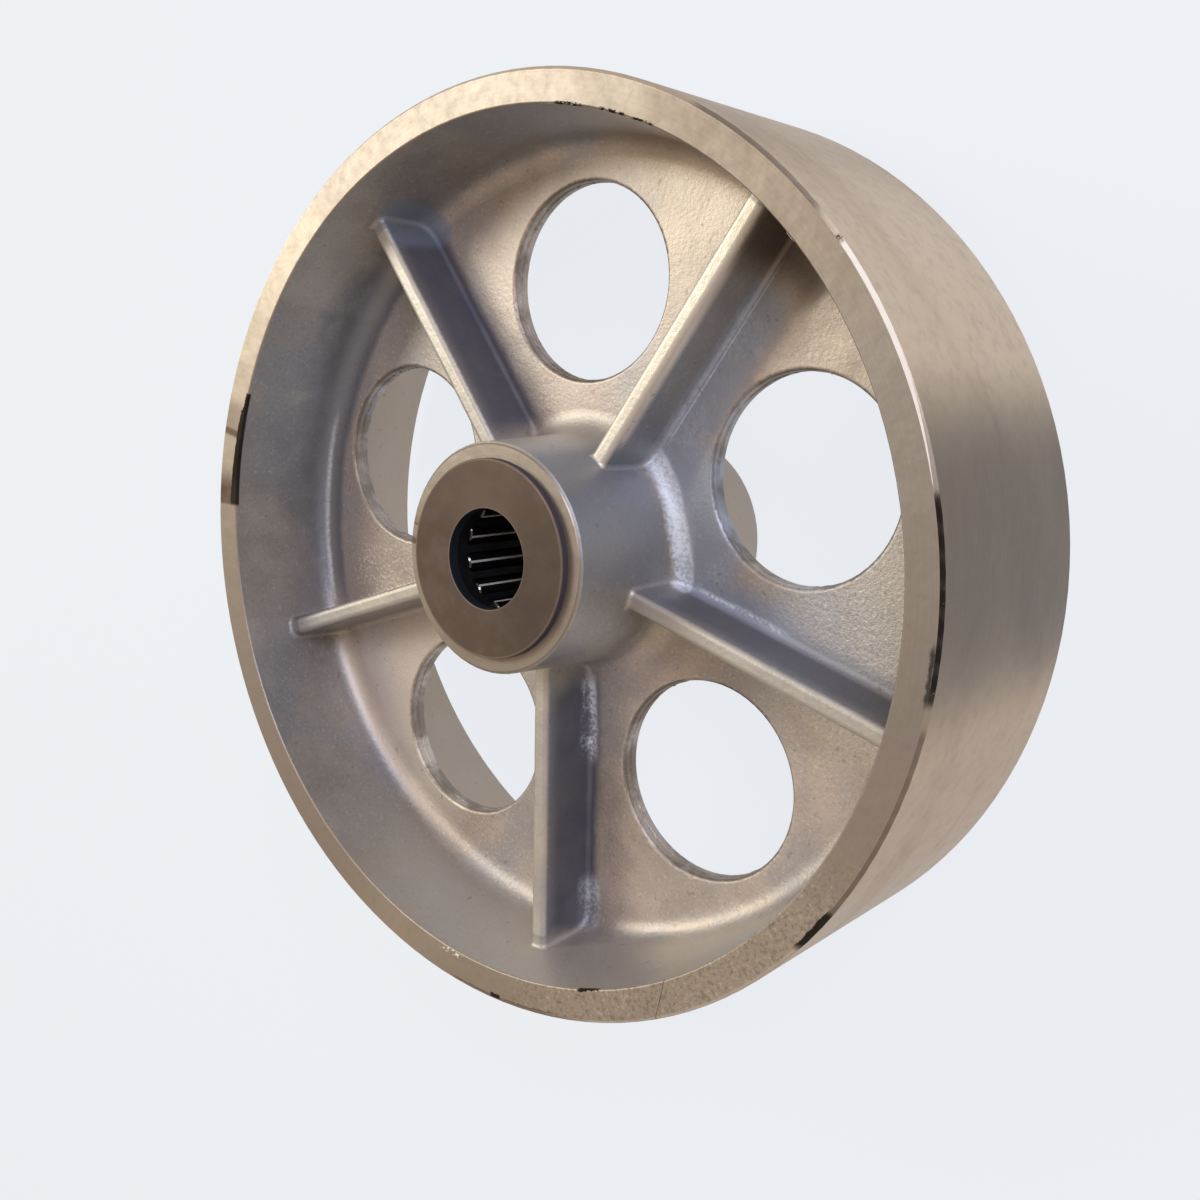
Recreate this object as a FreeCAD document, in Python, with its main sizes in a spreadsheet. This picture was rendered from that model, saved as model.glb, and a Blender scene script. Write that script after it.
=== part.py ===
import FreeCAD, Part
import math
import os

import Sketcher

# A ribbed cast iron wheel, 10 in across and 3 in wide, with a caged roller bearing in its hub.
# The axle runs along Z, the origin is the middle of the wheel on its axle and the first rib points
# along X. Lengths are in millimetres and angles in degrees.

# Driving sizes

SIZES = {
    "wheel_diameter": 254.0,
    "tread_width": 76.2,
    "rim_land": 9.1,
    "rim_draft": 5.5,
    "tread_chamfer": 0.9,
    "land_edge_radius": 0.5,
    "web_thickness": 6.4,
    "rib_count": 5,
    "rib_crest_height": 21.6,
    "rib_crest_width": 5.2,
    "rib_draft": 3.5,
    "rib_crest_radius": 1.8,
    "rib_fillet": 1.5,
    "core_fillet": 7.0,
    "hole_hub_margin": 14.7,
    "hole_rim_margin": 11.14,
    "hole_edge_radius": 1.2,
    "hub_diameter": 62.8,
    "hub_draft": 2.5,
    "hub_chamfer": 0.8,
    "bearing_length": 88.9,
    "axle_bore_diameter": 27.1,
    "washer_diameter": 54.0,
    "washer_thickness": 3.2,
    "washer_stand_out": 2.25,
    "washer_edge_radius": 0.5,
    "washer_bore_chamfer": 0.2,
    "washer_seat_clearance": 0.02,
    "roller_count": 12,
    "roller_diameter": 6.35,
    "roller_chamfer": 0.4,
    "roller_bore_clearance": 0.02,
    "raceway_clearance": 0.05,
    "cage_inner_diameter": 28.8,
    "cage_wall": 3.2,
    "cage_end_bar": 4.2,
    "cage_end_clearance": 0.35,
    "pocket_side_clearance": 0.12,
    "pocket_end_clearance": 0.2,
    "pocket_lip": 0.45,
    "pocket_corner_radius": 1.2,
}

doc = FreeCAD.newDocument("cast_iron_wheel")

sheet = doc.addObject("Spreadsheet::Sheet", "Sizes")
for row, (name, number) in enumerate(SIZES.items(), start=1):
    sheet.set("A" + str(row), name)
    sheet.set("B" + str(row), str(number))
    sheet.setAlias("B" + str(row), name)
doc.recompute()


class Size:
    """A number together with the sheet expression that it comes from."""

    def __init__(self, number, text):
        self.number = number
        self.text = text

    def __add__(self, other):
        other = as_size(other)
        return Size(self.number + other.number, "(" + self.text + " + " + other.text + ")")

    def __sub__(self, other):
        other = as_size(other)
        return Size(self.number - other.number, "(" + self.text + " - " + other.text + ")")

    def __mul__(self, other):
        other = as_size(other)
        return Size(self.number * other.number, "(" + self.text + " * " + other.text + ")")

    def __truediv__(self, other):
        other = as_size(other)
        return Size(self.number / other.number, "(" + self.text + " / " + other.text + ")")

    def __neg__(self):
        return Size(-self.number, "(0 - " + self.text + ")")


def as_size(value):
    """Turn a bare factor such as 2 into a Size."""
    if isinstance(value, Size):
        return value
    return Size(float(value), str(value))


def given(name):
    """Return a driving size from the sheet."""
    return Size(float(sheet.get(name)), "Sizes." + name)


def tangent(angle):
    """Return the tangent of an angle in degrees."""
    return Size(math.tan(math.radians(angle.number)), "tan(" + angle.text + " * 1 deg)")


def cosine(angle):
    """Return the cosine of an angle in degrees."""
    return Size(math.cos(math.radians(angle.number)), "cos(" + angle.text + " * 1 deg)")


def sine(angle):
    """Return the sine of an angle in degrees."""
    return Size(math.sin(math.radians(angle.number)), "sin(" + angle.text + " * 1 deg)")


# Sizes that follow from the driving ones

zero = Size(0.0, "0")
half_turn = Size(180.0, "180")

tread_radius = given("wheel_diameter") / 2
rim_half_width = given("tread_width") / 2
rim_face_radius = tread_radius - given("rim_land")
web_face = given("web_thickness") / 2
rim_web_radius = rim_face_radius - (rim_half_width - web_face) * tangent(given("rim_draft"))

washer_face = given("bearing_length") / 2
hub_end = washer_face - given("washer_stand_out")
hub_end_radius = given("hub_diameter") / 2
hub_web_radius = hub_end_radius + (hub_end - web_face) * tangent(given("hub_draft"))

hole_inner_reach = hub_web_radius + given("hole_hub_margin")
hole_outer_reach = rim_web_radius - given("hole_rim_margin")
hole_pitch_radius = (hole_inner_reach + hole_outer_reach) / 2
hole_radius = (hole_outer_reach - hole_inner_reach) / 2

washer_seat = washer_face - given("washer_thickness")
washer_radius = given("washer_diameter") / 2
seat_radius = washer_radius + given("washer_seat_clearance")
axle_bore_radius = given("axle_bore_diameter") / 2

roller_radius = given("roller_diameter") / 2
roller_pitch_radius = axle_bore_radius + given("roller_bore_clearance") + roller_radius
raceway_radius = roller_pitch_radius + roller_radius + given("raceway_clearance")

cage_inner_radius = given("cage_inner_diameter") / 2
cage_outer_radius = cage_inner_radius + given("cage_wall")
cage_half_length = washer_seat - given("cage_end_clearance")
pocket_radius = roller_radius + given("pocket_side_clearance")
pocket_half_length = cage_half_length - given("cage_end_bar")
roller_length = (pocket_half_length - given("pocket_end_clearance")) * 2
pocket_mouth = roller_radius - given("pocket_lip")

rib_crest = given("rib_crest_height")
rib_crest_half = given("rib_crest_width") / 2
rib_root_half = rib_crest_half + rib_crest * tangent(given("rib_draft"))
rib_start = (raceway_radius + hub_end_radius) / 2
rib_end = (tread_radius + rim_face_radius) / 2


# Helpers for sketches and features

def origin_feature(body, role):
    """Return one of the body's own origin planes or axes."""
    for feature in body.Origin.OriginFeatures:
        if feature.Role == role:
            return feature
    raise ValueError(role)


def new_body(label):
    """Start a sub-part under the label that names its file."""
    body = doc.addObject("PartDesign::Body", label)
    body.Label = label
    return body


def new_sketch(body, name, role, offset=None):
    """Lay an empty sketch on an origin plane, moved along its normal by the offset."""
    sketch = body.newObject("Sketcher::SketchObject", name)
    sketch.AttachmentSupport = [(origin_feature(body, role), "")]
    sketch.MapMode = "FlatFace"
    if offset is not None:
        sketch.AttachmentOffset = FreeCAD.Placement(FreeCAD.Vector(0, 0, offset.number), FreeCAD.Rotation())
        sketch.setExpression("AttachmentOffset.Base.z", offset.text)
    return sketch


def hold(sketch, kind, index, point, size):
    """Place a point of the sketch along one axis, counted from the origin."""
    if size.text == "0":
        sketch.addConstraint(Sketcher.Constraint("PointOnObject", index, point, -2 if kind == "DistanceX" else -1))
        return
    number = sketch.addConstraint(Sketcher.Constraint(kind, -1, 1, index, point, size.number))
    sketch.setExpression("Constraints[" + str(number) + "]", size.text)


def polygon(sketch, corners):
    """Draw a closed outline through the corners, each held by its two sizes."""
    count = len(corners)
    places = [FreeCAD.Vector(across.number, up.number, 0) for across, up in corners]
    for index in range(count):
        sketch.addGeometry(Part.LineSegment(places[index], places[(index + 1) % count]), False)
    for index in range(count):
        sketch.addConstraint(Sketcher.Constraint("Coincident", index, 2, (index + 1) % count, 1))
    for index, (across, up) in enumerate(corners):
        hold(sketch, "DistanceX", index, 1, across)
        hold(sketch, "DistanceY", index, 1, up)


def circle(sketch, across, up, radius):
    """Draw a circle held by its centre and radius."""
    centre = FreeCAD.Vector(across.number, up.number, 0)
    index = sketch.addGeometry(Part.Circle(centre, FreeCAD.Vector(0, 0, 1), radius.number), False)
    hold(sketch, "DistanceX", index, 3, across)
    hold(sketch, "DistanceY", index, 3, up)
    number = sketch.addConstraint(Sketcher.Constraint("Radius", index, radius.number))
    sketch.setExpression("Constraints[" + str(number) + "]", radius.text)


def rounded_rectangle(sketch, half_width, half_height, radius):
    """Draw a rectangle about the origin with round corners."""
    inner_x = half_width - radius
    inner_y = half_height - radius
    normal = FreeCAD.Vector(0, 0, 1)
    centres = [(inner_x, inner_y), (-inner_x, inner_y), (-inner_x, -inner_y), (inner_x, -inner_y)]
    for quarter, (across, up) in enumerate(centres):
        whole = Part.Circle(FreeCAD.Vector(across.number, up.number, 0), normal, radius.number)
        start = quarter * math.pi / 2
        sketch.addGeometry(Part.ArcOfCircle(whole, start, start + math.pi / 2), False)
    for quarter in range(4):
        first = sketch.Geometry[quarter].EndPoint
        second = sketch.Geometry[(quarter + 1) % 4].StartPoint
        sketch.addGeometry(Part.LineSegment(first, second), False)
    for quarter, (across, up) in enumerate(centres):
        sketch.addConstraint(Sketcher.Constraint("Tangent", quarter, 2, 4 + quarter, 1))
        sketch.addConstraint(Sketcher.Constraint("Tangent", 4 + quarter, 2, (quarter + 1) % 4, 1))
        hold(sketch, "DistanceX", quarter, 3, across)
        hold(sketch, "DistanceY", quarter, 3, up)
        number = sketch.addConstraint(Sketcher.Constraint("Radius", quarter, radius.number))
        sketch.setExpression("Constraints[" + str(number) + "]", radius.text)


def pad(body, name, sketch, length, both_ways=False):
    """Pad a sketch by a length, along its normal or half of it each way."""
    feature = body.newObject("PartDesign::Pad", name)
    feature.Profile = sketch
    feature.Midplane = both_ways
    feature.Length = length.number
    feature.setExpression("Length", length.text)
    sketch.Visibility = False
    body.Tip = feature
    doc.recompute()
    return feature


def pocket(body, name, sketch, length, both_ways=False):
    """Cut a sketch by a length, against its normal or half of it each way."""
    before = body.Shape.Volume
    feature = body.newObject("PartDesign::Pocket", name)
    feature.Profile = sketch
    feature.Midplane = both_ways
    feature.Length = length.number
    feature.setExpression("Length", length.text)
    sketch.Visibility = False
    body.Tip = feature
    doc.recompute()
    if not body.Shape.Volume < before:
        raise ValueError(name + " cuts nothing")
    return feature


def polar_pattern(body, name, features, count):
    """Repeat features evenly around Z."""
    feature = body.newObject("PartDesign::PolarPattern", name)
    feature.Originals = features
    feature.Axis = (origin_feature(body, "Z_Axis"), [""])
    feature.Angle = 360
    feature.Occurrences = int(count.number)
    feature.setExpression("Occurrences", count.text)
    body.Tip = feature
    doc.recompute()
    return feature


def edges_where(feature, test):
    """Name the edges of a feature's shape that pass a test."""
    names = []
    for number, edge in enumerate(feature.Shape.Edges, start=1):
        if test(edge):
            names.append("Edge" + str(number))
    if not names:
        raise ValueError("no edges found on " + feature.Label)
    return names


def dress_up(body, kind, name, base, test, size):
    """Fillet or chamfer the edges of the base feature that pass a test."""
    feature = body.newObject("PartDesign::" + kind, name)
    feature.Base = (base, edges_where(base, test))
    parameter = "Radius" if kind == "Fillet" else "Size"
    setattr(feature, parameter, size.number)
    feature.setExpression(parameter, size.text)
    body.Tip = feature
    doc.recompute()
    return feature


def middle(edge):
    """Return the point half way along an edge."""
    return edge.valueAt((edge.FirstParameter + edge.LastParameter) / 2)


def reach(point):
    """Return a point's distance from the axle line."""
    return math.hypot(point.x, point.y)


def has_curve(edge, kind):
    """Tell whether an edge lies on a curve of this kind."""
    try:
        return isinstance(edge.Curve, kind)
    except TypeError:
        return False


def ring_at(edge, radius, height):
    """Tell whether an edge is a ring of this radius at this distance from the middle plane."""
    if not has_curve(edge, Part.Circle):
        return False
    spot = middle(edge)
    return abs(reach(spot) - radius.number) < 0.01 and abs(abs(spot.z) - height.number) < 0.01


# Wheel casting: rim, web and hub turned as one section

casting = new_body("wheel_casting")
section = new_sketch(casting, "casting_section", "XZ_Plane")
polygon(section, [
    (raceway_radius, -washer_seat),
    (raceway_radius, washer_seat),
    (seat_radius, washer_seat),
    (seat_radius, hub_end),
    (hub_end_radius, hub_end),
    (hub_web_radius, web_face),
    (rim_web_radius, web_face),
    (rim_face_radius, rim_half_width),
    (tread_radius, rim_half_width),
    (tread_radius, -rim_half_width),
    (rim_face_radius, -rim_half_width),
    (rim_web_radius, -web_face),
    (hub_web_radius, -web_face),
    (hub_end_radius, -hub_end),
    (seat_radius, -hub_end),
    (seat_radius, -washer_seat),
])
turned = casting.newObject("PartDesign::Revolution", "casting_turned")
turned.Profile = section
turned.ReferenceAxis = (section, ["V_Axis"])
turned.Angle = 360
section.Visibility = False
doc.recompute()

# Large fillets where the web meets the hub and the rim


def on_web_corner(edge):
    """Tell whether an edge is a ring where the web meets the hub or the rim."""
    return ring_at(edge, hub_web_radius, web_face) or ring_at(edge, rim_web_radius, web_face)


core = dress_up(casting, "Fillet", "core_fillets", turned, on_web_corner, given("core_fillet"))

# Five ribs on each face of the web, with sides that draw in towards the crest

rib_section = new_sketch(casting, "rib_section", "YZ_Plane", rib_start)
polygon(rib_section, [
    (rib_crest_half, rib_crest),
    (-rib_crest_half, rib_crest),
    (-rib_root_half, zero),
    (-rib_crest_half, -rib_crest),
    (rib_crest_half, -rib_crest),
    (rib_root_half, zero),
])
rib = pad(casting, "rib", rib_section, rib_end - rib_start)
ribs = polar_pattern(casting, "ribs", [rib], given("rib_count"))


def on_crest(edge):
    """Tell whether an edge runs along the crest of a rib."""
    if not has_curve(edge, Part.Line):
        return False
    spot = middle(edge)
    return edge.Length > rib_crest.number and abs(abs(spot.z) - rib_crest.number) < 0.01


crests = dress_up(casting, "Fillet", "rib_crest_rounding", ribs, on_crest, given("rib_crest_radius"))

# Small fillets round the foot of each rib: along the web, up the hub and the rim and over the crest's ends


def on_rib_foot(edge):
    """Tell whether an edge is an inner corner between a rib and the turned body."""
    spot = middle(edge)
    height = abs(spot.z)
    if has_curve(edge, Part.Circle) and reach(edge.Curve.Center) < 0.01:
        return False
    if not hub_end_radius.number - 1 < reach(spot) < rim_face_radius.number + 1:
        return False
    if height > web_face.number + 0.1 and edge.Length > (rim_web_radius.number - hub_web_radius.number) / 2:
        return False
    return web_face.number - 0.01 < height < rib_crest.number + 0.1


rib_feet = dress_up(casting, "Fillet", "rib_foot_fillets", crests, on_rib_foot, given("rib_fillet"))

# Round holes through the web, half way between the ribs

hole_angle = half_turn / given("rib_count")
hole_sketch = new_sketch(casting, "web_hole_outline", "XY_Plane")
hole_x = hole_pitch_radius * cosine(hole_angle)
hole_y = hole_pitch_radius * sine(hole_angle)
circle(hole_sketch, hole_x, hole_y, hole_radius)
hole = pocket(casting, "web_hole", hole_sketch, given("web_thickness") * 2, True)
holes = polar_pattern(casting, "web_holes", [hole], given("rib_count"))


def on_hole_edge(edge):
    """Tell whether an edge is the rim of a hole on either face of the web."""
    if not has_curve(edge, Part.Circle):
        return False
    round_hole = abs(edge.Curve.Radius - hole_radius.number) < 0.01
    return round_hole and abs(reach(edge.Curve.Center) - hole_pitch_radius.number) < 0.01


hole_edges = dress_up(casting, "Fillet", "web_hole_edges", holes, on_hole_edge, given("hole_edge_radius"))


def on_tread_corner(edge):
    """Tell whether an edge is one of the two outer corners of the tread."""
    return ring_at(edge, tread_radius, rim_half_width)


def on_hub_corner(edge):
    """Tell whether an edge is one of the two outer corners of the hub."""
    return ring_at(edge, hub_end_radius, hub_end)


def on_land_corner(edge):
    """Tell whether an edge is one of the two inner corners of the rim's faces."""
    return ring_at(edge, rim_face_radius, rim_half_width)


tread_corners = dress_up(casting, "Chamfer", "tread_corners", hole_edges, on_tread_corner, given("tread_chamfer"))
hub_corners = dress_up(casting, "Chamfer", "hub_corners", tread_corners, on_hub_corner, given("hub_chamfer"))
dress_up(casting, "Fillet", "land_corners", hub_corners, on_land_corner, given("land_edge_radius"))

# End washers that close the bearing, pressed into the seats in the hub's ends


def end_washer(label, turn):
    """Build one washer, with its face away from the wheel's middle."""
    body = new_body(label)
    outline = new_sketch(body, label + "_outline", "XY_Plane", washer_seat)
    circle(outline, zero, zero, washer_radius)
    circle(outline, zero, zero, axle_bore_radius)
    plate = pad(body, label + "_plate", outline, given("washer_thickness"))

    def outer_edge(edge):
        return ring_at(edge, washer_radius, washer_face)

    def bore_edge(edge):
        return ring_at(edge, axle_bore_radius, washer_face)

    softened = dress_up(body, "Fillet", label + "_rim", plate, outer_edge, given("washer_edge_radius"))
    dress_up(body, "Chamfer", label + "_bore", softened, bore_edge, given("washer_bore_chamfer"))
    body.Placement = FreeCAD.Placement(FreeCAD.Vector(0, 0, 0), FreeCAD.Rotation(FreeCAD.Vector(1, 0, 0), turn))
    return body


front_washer = end_washer("front_end_washer", 0)
back_washer = end_washer("back_end_washer", 180)

# Roller cage: a tube with a pocket for each roller, whose inner lips keep the roller from falling in

cage = new_body("roller_cage")
cage_ring = new_sketch(cage, "cage_ring", "XY_Plane")
circle(cage_ring, zero, zero, cage_outer_radius)
circle(cage_ring, zero, zero, cage_inner_radius)
pad(cage, "cage_tube", cage_ring, cage_half_length * 2, True)
window_outline = new_sketch(cage, "window_outline", "XZ_Plane")
rounded_rectangle(window_outline, pocket_mouth, pocket_half_length, given("pocket_corner_radius"))
window = pocket(cage, "window", window_outline, cage_outer_radius + given("cage_wall"))
seat_outline = new_sketch(cage, "roller_seat_outline", "XY_Plane")
circle(seat_outline, zero, roller_pitch_radius, pocket_radius)
roller_seat = pocket(cage, "roller_seat", seat_outline, pocket_half_length * 2, True)
polar_pattern(cage, "pockets", [window, roller_seat], given("roller_count"))

# Rollers, evenly spaced in the cage

rollers = []
for index in range(int(given("roller_count").number)):
    label = "roller_" + str(index + 1).zfill(2)
    body = new_body(label)
    outline = new_sketch(body, label + "_outline", "XY_Plane")
    circle(outline, zero, zero, roller_radius)
    bar = pad(body, label + "_bar", outline, roller_length, True)
    dress_up(body, "Chamfer", label + "_ends", bar, lambda edge: has_curve(edge, Part.Circle),
             given("roller_chamfer"))
    angle = Size(90.0, "90") + half_turn * 2 * index / given("roller_count")
    place_x = roller_pitch_radius * cosine(angle)
    place_y = roller_pitch_radius * sine(angle)
    body.Placement = FreeCAD.Placement(FreeCAD.Vector(place_x.number, place_y.number, 0), FreeCAD.Rotation())
    body.setExpression("Placement.Base.x", place_x.text)
    body.setExpression("Placement.Base.y", place_y.text)
    rollers.append(body)

doc.recompute()

# Check every object, then write one file for each sub-part

for thing in doc.Objects:
    for state in ("Invalid", "Error"):
        if state in thing.State:
            raise RuntimeError(thing.Label + " is " + state)

pieces = [casting, front_washer, back_washer, cage] + rollers
for piece in pieces:
    shape = piece.Shape
    if shape.isNull() or not shape.isValid() or len(shape.Solids) != 1:
        raise RuntimeError(piece.Label + " is not one valid solid")

os.makedirs("parts", exist_ok=True)
for piece in pieces:
    piece.Shape.exportStep("parts/" + piece.Label + ".step")
    print(piece.Label, round(piece.Shape.Volume, 1), "cubic millimetres")
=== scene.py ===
import math

import bpy
import numpy as np
from mathutils import Matrix, Vector


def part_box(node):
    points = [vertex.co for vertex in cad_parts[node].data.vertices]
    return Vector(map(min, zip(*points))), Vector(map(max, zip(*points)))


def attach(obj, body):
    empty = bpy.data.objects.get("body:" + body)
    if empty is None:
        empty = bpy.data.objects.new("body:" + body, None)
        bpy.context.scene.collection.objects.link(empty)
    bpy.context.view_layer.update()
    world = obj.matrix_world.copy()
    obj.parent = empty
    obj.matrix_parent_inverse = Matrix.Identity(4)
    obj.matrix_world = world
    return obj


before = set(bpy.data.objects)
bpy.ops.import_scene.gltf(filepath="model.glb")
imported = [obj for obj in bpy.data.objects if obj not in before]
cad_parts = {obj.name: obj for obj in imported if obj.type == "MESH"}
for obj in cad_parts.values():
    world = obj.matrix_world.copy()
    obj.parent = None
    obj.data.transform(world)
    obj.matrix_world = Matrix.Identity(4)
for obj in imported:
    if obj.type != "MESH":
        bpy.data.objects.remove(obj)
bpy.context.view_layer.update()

bl_info = {
    "name": "Cast Iron Wheel",
    "version": (1, 0, 0),
    "blender": (4, 5, 0),
    "location": "3D View > Sidebar > Wheel",
    "description": "Finishes, casting flash and stage of a ribbed cast iron wheel with a roller bearing",
    "category": "Object",
}

# Places on the wheel in metres, read from the frame where it holds them

TREAD_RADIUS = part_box("wheel_casting")[1].x
HUB_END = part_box("wheel_casting")[1].z
WASHER_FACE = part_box("front_end_washer")[1].z
WASHER_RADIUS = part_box("front_end_washer")[1].x
FLOOR_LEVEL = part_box("back_end_washer")[0].z
CAGE_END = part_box("roller_cage")[1].z
ROLLER_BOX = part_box("roller_01")
ROLLER_RADIUS = (ROLLER_BOX[1].x - ROLLER_BOX[0].x) / 2
ROLLER_INNER = ((ROLLER_BOX[0] + ROLLER_BOX[1]) / 2).xy.length - ROLLER_RADIUS

# Places that the frame doesn't hold: heights from the middle plane and radii from the axle

RIM_FACE = 0.0381
TREAD_CHAMFER = 0.0009
LAND_RADIUS = 0.1179
RIM_CORNER = TREAD_RADIUS + RIM_FACE - TREAD_CHAMFER
RIB_CREST = 0.0216
RIB_COUNT = 5
RIB_STEP = math.radians(360 / RIB_COUNT)
WEB_FACE = 0.0032
HOLE_PITCH = 0.0756
HOLE_RADIUS = 0.0278
AXLE_HOLE_RADIUS = 0.01355
CAGE_INNER = 0.0144

LIGHT_DISTANCE = 1.0

# Colours of single places

# Bright chips and a painted highlight on the rim's corner
WHITE_BARE_AND_HIGHLIGHT = (1.0, 0.98, 0.92)
RUBBED_IRON = (0.80, 0.74, 0.66)
# Rubbed rib crests, and a painted highlight on the upper right one
CREST_RUB_AND_HIGHLIGHT = (0.80, 0.75, 0.68)
BARE_FLECK = (0.80, 0.76, 0.71)
PALE_IRON = (0.86, 0.78, 0.70)
# Painted highlight along the top of the upper right rib's shaded side
SHOULDER_HIGHLIGHT = (0.96, 0.87, 0.79)
# Painted light on the top of the hub's side
HUB_TOP_LIGHT = (0.74, 0.70, 0.66)
SILVER_IRON = (0.66, 0.68, 0.74)
CREAM_DUST = (0.90, 0.85, 0.75)
# Painted bluish shadow of the ribs on the web, and lighter mottle inside it
WEB_SHADOW = (0.42, 0.47, 0.57)
WEB_SHADOW_MOTTLE = (0.70, 0.74, 0.80)
# Painted light at the upper left rib's outer end
RIB_END_LIGHT = (0.34, 0.41, 0.52)
# Painted shade in the rim's corner
RIM_CORNER_SHADE = (0.20, 0.22, 0.27)
BROWN_WALL = (0.64, 0.58, 0.52)
# Painted shadow of the rim at the upper right
UPPER_RIM_SHADE = (0.36, 0.27, 0.19)
# Painted shadow in the corner at the upper right rib's outer end
CORNER_SHADOW = (0.135, 0.105, 0.08)
# Painted light on the back half, seen through the web holes
BACK_PAINTED_LIGHT = (0.56, 0.45, 0.34)
DARK_PIT = (0.22, 0.19, 0.17)
DARK_SPECK = (0.20, 0.17, 0.15)
DARK_LIP = (0.15, 0.115, 0.085)
DARK_GRIT = (0.24, 0.20, 0.16)
WEB_TINT = (1.38, 1.26, 1.18)
# Painted light on the upper tread
TREAD_UPPER_LIGHT = (0.78, 0.64, 0.47)
TREAD_LOW = (0.66, 0.47, 0.31)
TREAD_DARK = (0.085, 0.058, 0.042)
# Painted sheen, painted shade and painted light on the front rim face
LAND_LEFT_SHEEN = (0.75, 0.65, 0.55)
LAND_RIGHT_SHADE = (0.30, 0.28, 0.275)
LAND_LOW_LIGHT = (0.56, 0.49, 0.42)
RUBBED_STEEL = (0.42, 0.36, 0.30)
# Painted light and painted shade on the washer's face
WASHER_PAINTED_LIGHT = (0.17, 0.128, 0.10)
WASHER_PAINTED_SHADE = (0.062, 0.047, 0.040)
# Painted shade on the washer's outer wall and in its hole
WASHER_WALL_SHADE = (0.055, 0.060, 0.085)
WASHER_HOLE_SHADE = (0.012, 0.018, 0.026)
RUBBED_BLACK = (0.06, 0.055, 0.05)
# Painted highlight on the cage's inner edges
CAGE_EDGE_HIGHLIGHT = (0.62, 0.50, 0.34)
# Painted shade on the rollers, and a painted highlight line on them
DARKER_ROLLER_SHADE = (0.07, 0.065, 0.06)
ROLLER_RING = (0.40, 0.39, 0.38)
ROLLER_HIGHLIGHT = (0.95, 0.93, 0.90)


# Sizes and colours that a user would change

class CastingLook(bpy.types.PropertyGroup):
    paint_colour: bpy.props.FloatVectorProperty(
        name="Cast surface", description="Colour of the silvery sand-cast iron",
        default=(0.50, 0.485, 0.475), subtype="COLOR", min=0.0, max=1.0)
    dull_colour: bpy.props.FloatVectorProperty(
        name="Dull patches", description="Colour of the duller patches of the cast iron",
        default=(0.38, 0.367, 0.36), subtype="COLOR", min=0.0, max=1.0)
    machined_colour: bpy.props.FloatVectorProperty(
        name="Turned faces", description="Colour of the turned rim faces and hub ends",
        default=(0.37, 0.32, 0.285), subtype="COLOR", min=0.0, max=1.0)
    tread_colour: bpy.props.FloatVectorProperty(
        name="Tread", description="Colour of the turned tread",
        default=(0.43, 0.315, 0.21), subtype="COLOR", min=0.0, max=1.0)
    # Also used for the painted shade on the upper right of the front rim face
    stain_and_shade_colour: bpy.props.FloatVectorProperty(
        name="Stain", description="Colour of the brown stains on the turned faces",
        default=(0.20, 0.155, 0.12), subtype="COLOR", min=0.0, max=1.0)
    # Also used for the painted shade on the hub's right side
    cool_colour: bpy.props.FloatVectorProperty(
        name="Bluish patches", description="Colour of the bluish patches of the cast iron",
        default=(0.34, 0.37, 0.43), subtype="COLOR", min=0.0, max=1.0)
    # Painted shade on the rib sides that face away from the key light
    flank_shade_colour: bpy.props.FloatVectorProperty(
        name="Mill scale", description="Colour of the dark scale left on the sides of the ribs",
        default=(0.145, 0.15, 0.195), subtype="COLOR", min=0.0, max=1.0)
    # Painted bluish-white highlights in the fillets by the hub, in the rim's corner and at the ribs' feet
    fillet_highlight_colour: bpy.props.FloatVectorProperty(
        name="Chalky patches", description="Colour of the pale chalky patches of the cast iron",
        default=(0.78, 0.85, 0.94), subtype="COLOR", min=0.0, max=1.0)
    rust_colour: bpy.props.FloatVectorProperty(
        name="Rust stains", description="Colour of the brown stains on the front rim face",
        default=(0.115, 0.06, 0.032), subtype="COLOR", min=0.0, max=1.0)
    chip_colour: bpy.props.FloatVectorProperty(
        name="Chips", description="Colour of the dark chips along the rim's edges",
        default=(0.022, 0.017, 0.014), subtype="COLOR", min=0.0, max=1.0)
    grain_size: bpy.props.FloatProperty(
        name="Grain", description="Size of the sand grain left on the cast surface",
        default=0.0011, unit="LENGTH", min=0.0003, max=0.005)
    turning_pitch: bpy.props.FloatProperty(
        name="Turning pitch", description="Spacing of the tool marks on the turned faces",
        default=0.00035, unit="LENGTH", min=0.0001, max=0.002)


class BearingLook(bpy.types.PropertyGroup):
    washer_colour: bpy.props.FloatVectorProperty(
        name="Washer", description="Colour of the browned end washers",
        default=(0.108, 0.080, 0.063), subtype="COLOR", min=0.0, max=1.0)
    cage_colour: bpy.props.FloatVectorProperty(
        name="Cage", description="Colour of the blackened cage",
        default=(0.012, 0.012, 0.014), subtype="COLOR", min=0.0, max=1.0)
    # Painted shade: the rollers are made dark, as they look in the shaded bore
    shaded_roller_colour: bpy.props.FloatVectorProperty(
        name="Rollers", description="Colour of the ground rollers",
        default=(0.09, 0.09, 0.095), subtype="COLOR", min=0.0, max=1.0)


class FlashLook(bpy.types.PropertyGroup):
    fin_height: bpy.props.FloatProperty(
        name="Fin height", description="How far the thin fin stands into each web hole",
        default=0.0004, unit="LENGTH", min=0.0, max=0.003)
    fin_thickness: bpy.props.FloatProperty(
        name="Fin thickness", description="Thickness of the fin at its root",
        default=0.0007, unit="LENGTH", min=0.0002, max=0.003)
    burr_height: bpy.props.FloatProperty(
        name="Burr height", description="Height of the burrs along the rim face's inner edge",
        default=0.0005, unit="LENGTH", min=0.0, max=0.003)


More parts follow.
